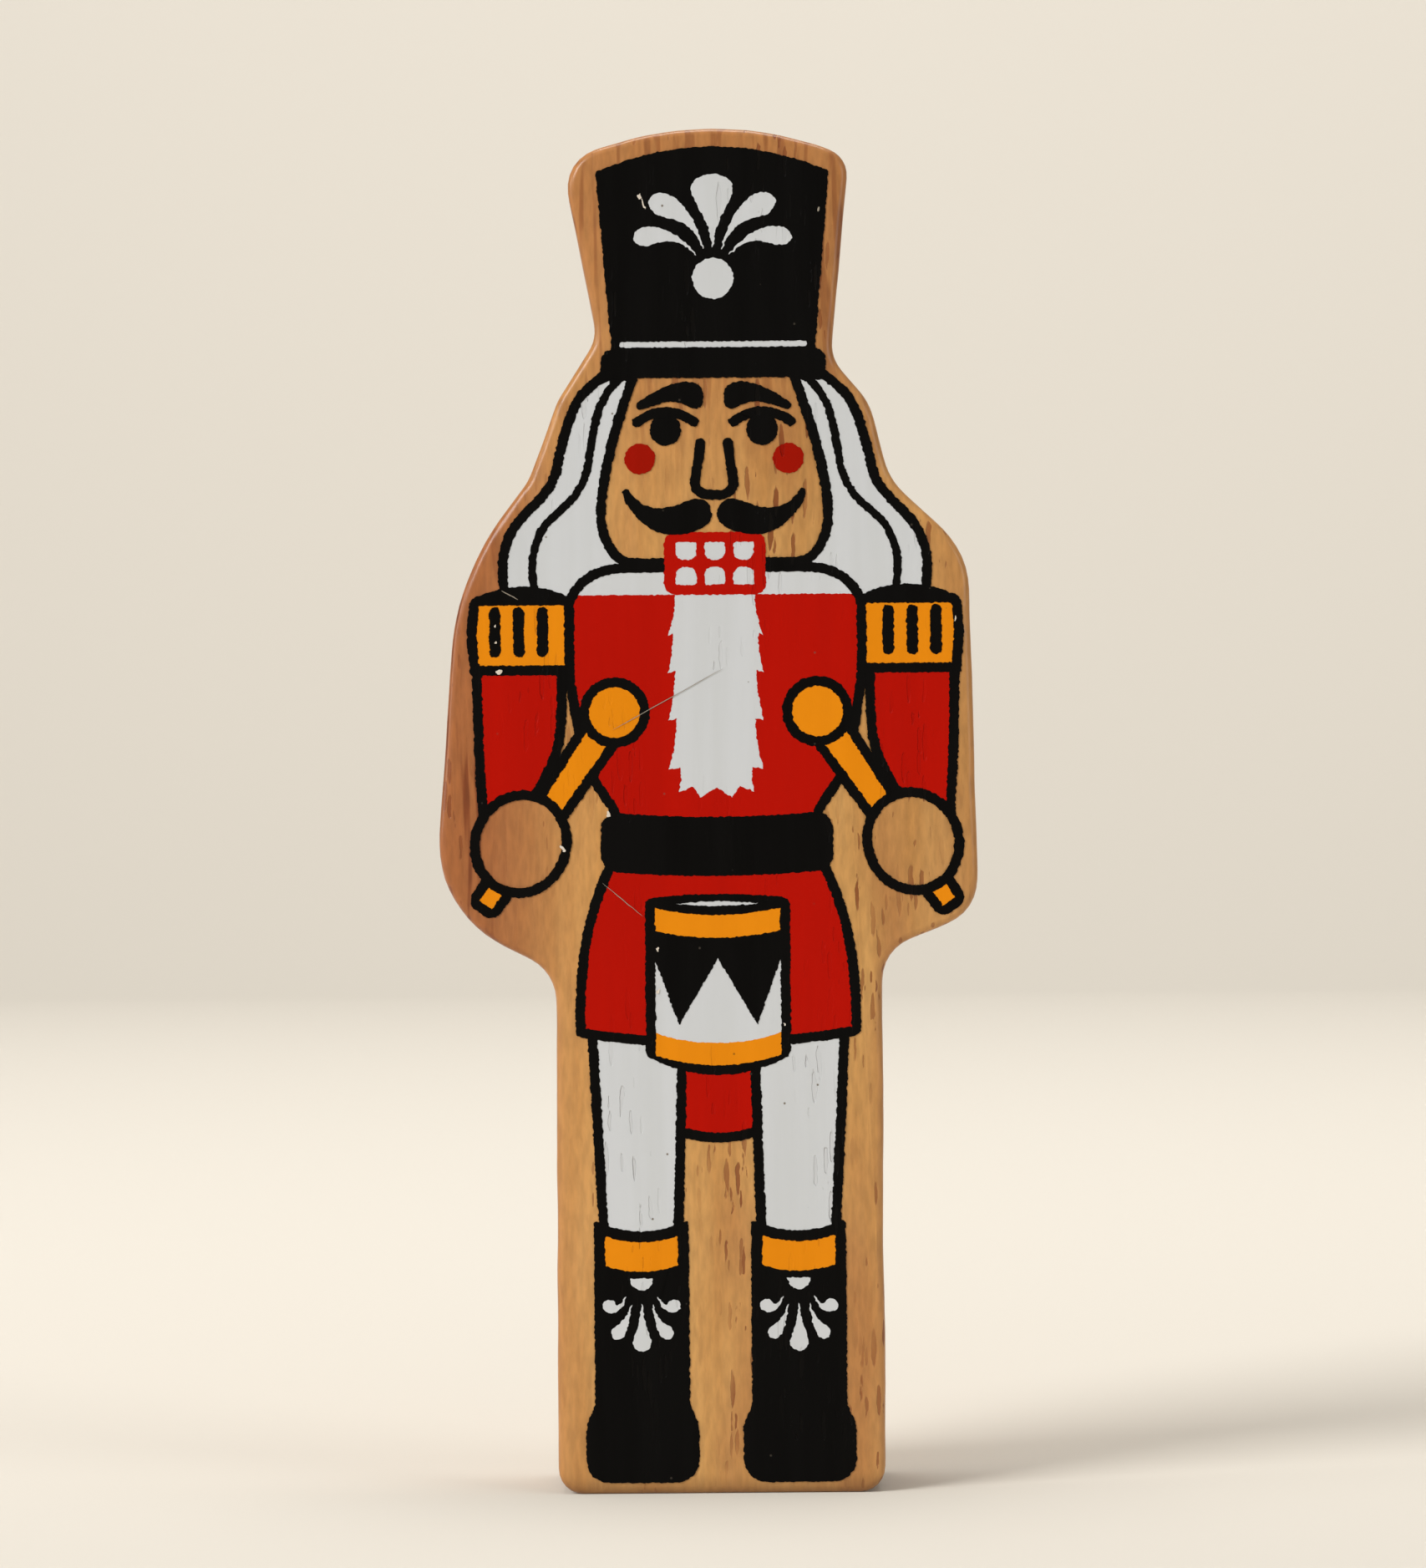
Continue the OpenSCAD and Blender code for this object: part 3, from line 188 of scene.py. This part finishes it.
def varnished_rubberwood():
    """Rubberwood, sanded and varnished: honey streaks, red-brown pores, edges darkened partly by painted
    shade, a painted shadow at the foot, and a satin sheen.
    """
    material, tree = new_material("varnished_rubberwood")
    place, bent, streaks, fibres, pores = grain(tree)
    x, y, z = add(tree, "SeparateXYZ", {"Vector": place}).outputs
    streaked = add(tree, "MapRange", {
        "Value": streaks, "From Min": STREAK_FADE[0], "From Max": STREAK_FADE[1]})
    honey = add(tree, "Mix", {
        SHARE: streaked, UNDER: linear("#ce9b5a"), OVER: linear("#c18b4b")}, data_type="RGBA")

    # Redder heartwood at the sides, most of all at the left and near the front, at the top and in patches
    at_left = add(tree, "MapRange", {
        "Value": x, "From Min": RED_LEFT[0] * MM, "From Max": RED_LEFT[1] * MM}, **SMOOTH)
    at_right = add(tree, "MapRange", {
        "Value": x, "From Min": RED_RIGHT[0] * MM, "From Max": RED_RIGHT[1] * MM,
        "To Max": RIGHT_SHARE}, **SMOOTH)
    at_top = add(tree, "MapRange", {
        "Value": z, "From Min": RED_TOP[0] * MM, "From Max": RED_TOP[1] * MM, "To Max": TOP_SHARE}, **SMOOTH)
    patch_place = add(tree, "Mapping", {"Vector": place, "Scale": per_mm(*PATCH_SIZE)})
    patch = add(tree, "TexNoise", {"Vector": patch_place, "Scale": 1})
    patched = add(tree, "MapRange", {
        "Value": patch, "From Min": PATCH_FADE[0], "From Max": PATCH_FADE[1],
        "To Max": PATCH_SHARE}, **SMOOTH)
    near_front = add(tree, "MapRange", {
        "Value": y, "From Min": FRONT_Y * MM, "From Max": (FRONT_Y + HEARTWOOD_DEPTH) * MM,
        "To Min": 1, "To Max": FADED}, **SMOOTH)
    at_sides = add(tree, "Math", {0: at_left, 1: at_right}, operation="MAXIMUM")
    front_sides = add(tree, "Math", {0: at_sides, 1: near_front}, operation="MULTIPLY")
    at_ends = add(tree, "Math", {0: front_sides, 1: at_top}, operation="MAXIMUM")
    redness = add(tree, "Math", {0: at_ends, 1: patched}, operation="MAXIMUM")
    warm = add(tree, "Mix", {SHARE: redness, UNDER: honey, OVER: linear("#9f5f31")}, data_type="RGBA")

    # Near the left edge and the top the growth rings show as long dark lines
    ring_place = add(tree, "Mapping", {"Vector": bent, "Scale": per_mm(*RING_SIZE)})
    ring = add(tree, "TexNoise", {"Vector": ring_place, "Scale": 1, "Detail": 1})
    ringed = add(tree, "MapRange", {
        "Value": ring, "From Min": RING_FADE[0], "From Max": RING_FADE[1]}, **SMOOTH)
    left_rings = add(tree, "MapRange", {
        "Value": x, "From Min": RINGED_LEFT[0] * MM, "From Max": RINGED_LEFT[1] * MM}, **SMOOTH)
    top_rings = add(tree, "MapRange", {
        "Value": z, "From Min": RINGED_TOP[0] * MM, "From Max": RINGED_TOP[1] * MM,
        "To Max": TOP_RING_SHARE}, **SMOOTH)
    at_rings = add(tree, "Math", {0: left_rings, 1: top_rings}, operation="MAXIMUM")
    front_rings = add(tree, "Math", {0: at_rings, 1: near_front}, operation="MULTIPLY")
    ring_share = add(tree, "Math", {0: ringed, 1: front_rings}, operation="MULTIPLY")
    lined = add(tree, "Mix", {SHARE: ring_share, UNDER: warm, OVER: linear("#7a3c18")}, data_type="RGBA")

    # Short curly figure lightens and darkens it a little, and the pores hold dark varnish
    curl_place = add(tree, "Mapping", {"Vector": place, "Scale": per_mm(*CURL_SIZE)})
    curl = add(tree, "TexNoise", {"Vector": curl_place, "Scale": 1, "Detail": 3})
    mottle = add(tree, "MapRange", {
        "Value": curl, "From Min": CURL_FADE[0], "From Max": CURL_FADE[1],
        "To Min": MOTTLE[0], "To Max": MOTTLE[1]})
    mottled = add(tree, "VectorMath", {0: lined, "Scale": mottle}, operation="SCALE")
    pore_share = add(tree, "Math", {0: pores, 1: PORE_SHARE}, operation="MULTIPLY")
    pored = add(tree, "Mix", {SHARE: pore_share, UNDER: mottled, OVER: linear("#7f3f17")}, data_type="RGBA")

    # Sanded edges and sides drink more varnish and are darkened further by painted shade on the roundover,
    # and the foot gets a painted shadow where it stands on the floor
    from_middle = add(tree, "Math", {0: y}, operation="ABSOLUTE")
    sanded = add(tree, "MapRange", {
        "Value": from_middle, "From Min": -FRONT_Y * MM, "From Max": (-FRONT_Y - SANDED_AND_SHADED_DEPTH) * MM})
    tinted = add(tree, "VectorMath", {0: pored, 1: SANDED_AND_SHADED_TINT}, operation="MULTIPLY")
    sanded_and_shaded_edges = add(tree, "Mix", {SHARE: sanded, UNDER: pored, OVER: tinted}, data_type="RGBA")
    # Painted shadow: the last few millimetres above the floor are darkened towards brown
    at_foot = add(tree, "MapRange", {
        "Value": z, "From Min": FOOT_H * MM, "From Max": 0, "To Max": FOOT_SHADOW_SHARE}, **SMOOTH)
    foot_shadowed = add(tree, "Mix", {SHARE: at_foot, UNDER: sanded_and_shaded_edges, OVER: linear("#6d4625")}, data_type="RGBA")

    satin = add(tree, "MapRange", {
        "Value": fibres, "From Min": SHEEN_FADE[0], "From Max": SHEEN_FADE[1],
        "To Min": WOOD_ROUGHNESS[0], "To Max": WOOD_ROUGHNESS[1]})
    shader = add(tree, "BsdfPrincipled", {
        "Base Color": foot_shadowed, "Roughness": satin, "IOR": 1.5, "Specular IOR Level": 0.2,
        "Coat Weight": 0.4, "Coat Roughness": 0.2,
        "Normal": relief(tree, curl, CURL_HEIGHT, pores, PORE_DEPTH)})
    add(tree, "OutputMaterial", {"Surface": shader})
    return material


# Ink: it bridges all but the deepest middle of a pore, and its fibres stand up less than in bare wood
BRIDGING, DENT_DEPTH, INKED_FIBRE_HEIGHT = 2.4, 0.13, 0.008
INK_ROUGHNESS = (0.34, 0.46)
# Specks of dust and pinholes: how far apart, in which cells, and how much of a cell they take up
SPECK_SPACING, SPECK_CHANCE, SPECK_SHARE = 1.7, (0.8, 0.86), (0.09, 0.04)


def printed_ink(name, colour, thin, dent_shade, speck, shine):
    """Screen ink on open grain: an even satin film, thin in streaks, sunk by pores with painted shade in
    them, with a few specks.
    """
    material, tree = new_material(name)
    place, _, streaks, fibres, pores = grain(tree)
    streaked = add(tree, "MapRange", {
        "Value": streaks, "From Min": STREAK_FADE[0], "From Max": STREAK_FADE[1]}, **SMOOTH)
    body = add(tree, "Mix", {SHARE: streaked, UNDER: linear(colour), OVER: linear(thin)}, data_type="RGBA")
    dents = add(tree, "Math", {0: pores, 1: BRIDGING}, operation="POWER")
    # The pore dents take a painted shade: darker than the ink on white, red and yellow, a little lighter on
    # black
    dent_shaded = add(tree, "Mix", {SHARE: dents, UNDER: body, OVER: linear(dent_shade)}, data_type="RGBA")

    dots = add(tree, "TexVoronoi", {"Vector": place, "Scale": 1 / (SPECK_SPACING * MM)})
    chance = add(tree, "SeparateColor", {"Color": dots.outputs["Color"]})
    few = add(tree, "MapRange", {
        "Value": chance, "From Min": SPECK_CHANCE[0], "From Max": SPECK_CHANCE[1]})
    small = add(tree, "MapRange", {"Value": dots, "From Min": SPECK_SHARE[0], "From Max": SPECK_SHARE[1]})
    specks = add(tree, "Math", {0: few, 1: small}, operation="MULTIPLY")
    specked = add(tree, "Mix", {SHARE: specks, UNDER: dent_shaded, OVER: linear(speck)}, data_type="RGBA")

    satin = add(tree, "MapRange", {
        "Value": fibres, "From Min": SHEEN_FADE[0], "From Max": SHEEN_FADE[1],
        "To Min": INK_ROUGHNESS[0], "To Max": INK_ROUGHNESS[1]})
    shader = add(tree, "BsdfPrincipled", {
        "Base Color": specked, "Roughness": satin, "IOR": 1.48, "Specular IOR Level": shine,
        "Normal": relief(tree, fibres, INKED_FIBRE_HEIGHT, dents, DENT_DEPTH)})
    add(tree, "OutputMaterial", {"Surface": shader})
    return material


def torn_fibre(name, pale, dark):
    """Raw wood fibre where the ink is gone: dry, matt and streaked."""
    material, tree = new_material(name)
    _, _, _, fibres, _ = grain(tree)
    streaked = add(tree, "Mix", {SHARE: fibres, UNDER: linear(pale), OVER: linear(dark)}, data_type="RGBA")
    shader = add(tree, "BsdfPrincipled", {"Base Color": streaked, "Roughness": 0.8})
    add(tree, "OutputMaterial", {"Surface": shader})
    return material


# Each ink has its colour, and the colours of its thin streaks, of the painted shade in its pore dents, and
# of its specks
FINISHES = {
    "wood": varnished_rubberwood(),
    "black_ink": printed_ink("black_screen_ink", "#0a0908", "#0d0c0b", "#110f0d", "#3a352f", shine=0.04),
    "white_ink": printed_ink("white_screen_ink", "#cbcdcf", "#c7c9ca", "#c4c5c6", "#6f6354", shine=0.16),
    "red_ink": printed_ink("red_screen_ink", "#b21003", "#ad0f03", "#aa0e03", "#8a3a30", shine=0.05),
    "yellow_ink": printed_ink("yellow_screen_ink", "#e4880a", "#df8408", "#da8008", "#9a5a10", shine=0.1),
}
# On the cheeks the red lies on bare wood and looks deeper
CHEEK_INK = printed_ink("red_screen_ink_on_wood", "#9c1304", "#961203", "#8c1003", "#8a3a30", shine=0.05)
CHIPPED_WOOD = torn_fibre("chipped_wood_fibre", "#e8e3da", "#bfae96")
# Scratches: torn fibre whose grey-brown also holds painted shade along the groove, since the marks lie flat
SCRATCH_FIBRE_AND_SHADE = torn_fibre("scratch_fibre_and_shade", "#a39a8a", "#7d7263")


def edit(piece):
    """Select one piece alone and start to shape its whole mesh."""
    bpy.ops.object.select_all(action="DESELECT")
    piece.select_set(True)
    bpy.context.view_layer.objects.active = piece
    bpy.ops.object.mode_set(mode="EDIT")
    bpy.ops.mesh.select_all(action="SELECT")


def split_long_edges(piece, longest):
    """Halve the edges of the piece in edit mode until none is longer than this."""
    while True:
        mesh = bmesh.from_edit_mesh(piece.data)
        long_edges = [e for e in mesh.edges if e.calc_length() > longest * MM]
        if not long_edges:
            return
        bpy.ops.mesh.select_all(action="DESELECT")
        for e in long_edges:
            e.select_set(True)
        bmesh.update_edit_mesh(piece.data)
        bpy.ops.mesh.subdivide(number_cuts=1)


# Points closer than this are one point, and faces that meet at a smaller angle than this are one face
SAME_POINT, FLAT_DEGREES = 0.001, 0.5


def worked_copy(node, name, longest):
    """A copy of a node's mesh with its flat faces whole and its edges in short steps, ready to be worn."""
    piece = bpy.data.objects.new(name, frame["nodes"][node].data.copy())
    bpy.context.scene.collection.objects.link(piece)
    edit(piece)
    bpy.ops.mesh.remove_doubles(threshold=SAME_POINT * MM)
    bpy.ops.mesh.customdata_custom_splitnormals_clear()
    bpy.ops.mesh.dissolve_limited(angle_limit=math.radians(FLAT_DEGREES))
    split_long_edges(piece, longest)
    bpy.ops.object.mode_set(mode="OBJECT")
    return piece


def shift(piece, direction, amount, texture=None, group=""):
    """Move the points of a piece by a texture, up to half the amount each way, or all by the same amount."""
    change = piece.modifiers.new("shift", "DISPLACE")
    change.direction = direction
    change.strength = amount * MM
    change.mid_level = 0.5 if texture else 0
    change.texture = texture
    change.texture_coords = "LOCAL"
    change.vertex_group = group
    bpy.ops.object.modifier_apply(modifier=change.name)


def waver(name, size, basis):
    """A cloudy texture whose bumps have this size."""
    texture = bpy.data.textures.new(name, "CLOUDS")
    texture.noise_scale = size * MM
    texture.noise_depth = 2
    texture.noise_basis = basis
    return texture


def finish(piece, material):
    """Give a piece its material and slot, and let it ride on the figure."""
    piece.data.materials.clear()
    piece.data.materials.append(material)
    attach(piece, "root")


# The blank: hand sanding leaves its sawn outline a little uneven, but not its flat faces and its foot
SANDING = waver("sanding", size=11, basis="BLENDER_ORIGINAL")
SANDED_AWAY, SANDING_PASSES = 0.3, 6
BLANK_STEP = 1.2
# Height over which the sanding sets in above the foot, and depth of the skin that belongs to a flat face
FOOT_FLAT, FACE_SKIN = 5, 0.05
# Edges that turn by more than this stay sharp
SHARP_DEGREES = 30


def sawn_blank():
    """The board, with rounder edges and a sanded outline that keeps its flat faces and its flat foot."""
    blank = worked_copy("wood_blank", "sawn_blank", BLANK_STEP)
    sides = blank.vertex_groups.new(name="sides")
    for point in blank.data.vertices:
        if abs(point.co.y) < blank_high.y - FACE_SKIN * MM:
            sides.add([point.index], min(1, point.co.z / (FOOT_FLAT * MM)), "REPLACE")
    sanded = blank.modifiers.new("sanded", "SMOOTH")
    sanded.iterations = SANDING_PASSES
    sanded.vertex_group = "sides"
    bpy.ops.object.modifier_apply(modifier=sanded.name)
    shift(blank, "NORMAL", SANDED_AWAY, SANDING, "sides")
    bpy.ops.object.shade_smooth_by_angle(angle=math.radians(SHARP_DEGREES))
    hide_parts("wood_blank")
    finish(blank, FINISHES["wood"])


# The print: ink creeps along the grain, so its edges waver by up to half the creep each way, and each colour
# overlaps the ones before it
CREEP_X = waver("creep_across", size=0.34, basis="BLENDER_ORIGINAL")
CREEP_Z = waver("creep_along", size=0.36, basis="ORIGINAL_PERLIN")
CREEP = 0.32
FILM_STEP = 0.1
OVERLAP = {"white_ink": 0.004, "yellow_ink": 0.012, "red_ink": 0.02, "black_ink": 0.04}
# A front is flat but for this, which keeps its faces from shading each other where a wavering edge folds
UNEVENNESS = 0.003
# The white ornaments come last, over the black
ORNAMENT_OVERLAP = 0.06
# How much the drum's skin, a brushed streak, thins out towards its ends, and the slack that finds its edge
SKIN_TAPER = 0.95
EDGE_SLACK = 1.001


def brush_out(film):
    """Thin the streak that is the drum's skin, and its opening in the black, out to both its ends."""
    low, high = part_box("drum_skin")
    middle = (low + high) / 2
    half = (high - middle) * EDGE_SLACK
    for point in film.data.vertices:
        away = point.co - middle
        if abs(away.x) < half.x and abs(away.z) < half.z:
            point.co.z = middle.z + away.z * (1 - SKIN_TAPER * (away.x / half.x) ** 2)


def printed_film(node, ink):
    """One film of ink with a wavering edge and a flat front."""
    film = worked_copy(node, node + "_print", FILM_STEP)
    if node in ("drum_skin", "drum_body"):
        brush_out(film)
    overlap = ORNAMENT_OVERLAP if node.endswith("ornament") else OVERLAP[ink]
    shift(film, "X", CREEP, CREEP_X)
    shift(film, "Z", CREEP, CREEP_Z)
    shift(film, "NORMAL", overlap)
    low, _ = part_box(node)
    for point in film.data.vertices:
        if point.co.y < FRONT_Y * MM:
            point.co.y = low.y - overlap * MM
    shift(film, "Y", UNEVENNESS, CREEP_X)
    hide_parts(node)
    finish(film, CHEEK_INK if node.endswith("cheek") else FINISHES[ink])


sawn_blank()
for part in frame["record"]["subparts"]:
    if part["node"] != "wood_blank":
        printed_film(part["node"], part["material_slot"])

# Wear: flakes where the ink has chipped off, and scratches, at x and z on the front with length, width,
# and turn in degrees from upright towards the right
CHIPS = [
    (-7.4, 132.9, 0.6, 0.4, -25),
    (-7.0, 132.1, 1.2, 0.14, -18),
    (-22.6, 89.0, 0.35, 0.25, 0),
    (-22.6, 87.3, 0.3, 0.2, 0),
    (-22.2, 84.3, 0.4, 0.75, 0),
    (24.6, 89.5, 0.5, 0.2, 0),
    (-11.15, 69.7, 0.5, 0.3, -20),
    (-15.8, 66.2, 0.9, 0.3, -30),
    (-6.1, 51.5, 0.5, 0.25, 30),
    (-6.1, 55.8, 0.45, 0.2, 10),
    (6.8, 48.0, 0.4, 0.2, -20),
]
SCRATCHES = [
    (-4.95, 81.4, 13, 0.07, 61.4),
    (-9.7, 60.9, 5.4, 0.07, 130),
    (-21.05, 92.2, 1.9, 0.1, 119),
    (10.9, 131.5, 0.5, 0.2, 10),
]
# A mark lies just over the highest ink, and starts as a circle 1 mm across
MARK_LIFT, MARK_T = 0.13, 0.02
MARK_CIRCLE_R, MARK_CORNERS = 0.5, 24


def wear_marks(name, rows, material, raggedness):
    """Thin ragged marks that lie on the print, joined into one piece."""
    made = []
    for x, z, length, width, turn in rows:
        bpy.ops.object.select_all(action="DESELECT")
        bpy.ops.mesh.primitive_circle_add(
            vertices=MARK_CORNERS, radius=MARK_CIRCLE_R * MM, fill_type="NGON",
            location=(x * MM, (FRONT_Y - MARK_LIFT) * MM, z * MM),
            rotation=(math.radians(90), math.radians(turn), 0))
        bpy.context.object.scale = (width, length, 1)
        bpy.ops.object.transform_apply()
        made.append(bpy.context.object)
    for mark in made:
        mark.select_set(True)
    bpy.ops.object.join()
    piece = bpy.context.object
    piece.name = name
    shift(piece, "X", raggedness, CREEP_X)
    shift(piece, "Z", raggedness, CREEP_Z)
    thick = piece.modifiers.new("thick", "SOLIDIFY")
    thick.thickness = MARK_T * MM
    thick.offset = 1
    bpy.ops.object.modifier_apply(modifier=thick.name)
    finish(piece, material)


wear_marks("ink_chips", CHIPS, CHIPPED_WOOD, raggedness=0.5)
wear_marks("ink_scratches", SCRATCHES, SCRATCH_FIBRE_AND_SHADE, raggedness=0.12)

# The stage: a pale sweep with its own light, a large soft light from the upper left, a weaker one from
# the right, and one from the left that draws the left edge. Two lamps have hoods, which keep the floor near
# them from burning out
SWEEP_HALF, SWEEP_BACK, SWEEP_TOP = 3000, 1400, 3000
SWEEP_BEND, BEND_STEPS = 600, 24
# An edge whose ends lie within this of the corner between floor and wall is that corner
CORNER_REACH = 1


def pick_corner(sweep):
    """In edit mode, select the edge at the back of the floor, where the wall starts."""
    bpy.ops.mesh.select_all(action="DESELECT")
    mesh = bmesh.from_edit_mesh(sweep.data)
    for e in mesh.edges:
        at_back = all(v.co.y > (SWEEP_BACK - CORNER_REACH) * MM for v in e.verts)
        e.select_set(at_back and all(v.co.z < CORNER_REACH * MM for v in e.verts))
    bmesh.update_edit_mesh(sweep.data)


def pale_sweep():
    """A floor that bends up into a wall behind the figure."""
    bpy.ops.object.select_all(action="DESELECT")
    bpy.ops.mesh.primitive_plane_add(
        size=2 * SWEEP_HALF * MM, location=(0, (SWEEP_BACK - SWEEP_HALF) * MM, 0))
    sweep = bpy.context.object
    sweep.name = "pale_sweep"
    bpy.ops.object.transform_apply()
    edit(sweep)
    pick_corner(sweep)
    bpy.ops.mesh.extrude_region_move(TRANSFORM_OT_translate={"value": (0, 0, SWEEP_TOP * MM)})
    pick_corner(sweep)
    bpy.ops.mesh.bevel(offset=SWEEP_BEND * MM, segments=BEND_STEPS)
    bpy.ops.object.mode_set(mode="OBJECT")
    bpy.ops.object.shade_smooth()
    material, tree = new_material("pale_paper")
    shader = add(tree, "BsdfPrincipled", {"Base Color": linear("#d4cdc1"), "Roughness": 0.9})
    add(tree, "OutputMaterial", {"Surface": shader})
    sweep.data.materials.append(material)


def soft_light(name, place, target, size, watts, beam_degrees=180):
    """A square lamp at a place in millimetres, turned to a target, with or without a hood round its beam."""
    bpy.ops.object.select_all(action="DESELECT")
    bpy.ops.object.light_add(type="AREA", location=[p * MM for p in place])
    lamp = bpy.context.object
    lamp.name = name
    lamp.data.size = size * MM
    lamp.data.energy = watts
    lamp.data.spread = math.radians(beam_degrees)
    look = Vector(target) - Vector(place)
    lamp.rotation_euler = look.to_track_quat("-Z", "Y").to_euler()


CHEST = (0, 0, VIEW_Z)
pale_sweep()
soft_light("upper_left_light", (-1240, -1040, 1040), CHEST, size=840, watts=7.9, beam_degrees=100)
soft_light("right_light", (1400, -920, 480), CHEST, size=840, watts=5.2)
soft_light("left_edge_light", (-1240, -80, 360), CHEST, size=520, watts=0.26, beam_degrees=50)
soft_light("backdrop_light", (0, 300, 1500), (0, SWEEP_BACK, 300), size=900, watts=20)

world = bpy.data.worlds.new("soft_room")
world.use_nodes = True
bpy.context.scene.world = world
room = world.node_tree.nodes["Background"]
room.inputs["Color"].default_value = linear("#f2efe9")
room.inputs["Strength"].default_value = 0.4

bpy.ops.object.camera_add(
    location=(VIEW_X * MM, (FRONT_Y - CAMERA_AWAY) * MM, VIEW_Z * MM),
    rotation=(math.radians(90), math.radians(LEAN_DEGREES), 0))
camera = bpy.context.object
view_height = PHOTO_H * FIGURE_H / FIGURE_PIXELS
camera.data.lens = camera.data.sensor_width * CAMERA_AWAY / view_height
bpy.context.scene.camera = camera
bpy.context.scene.view_settings.view_transform = "Standard"
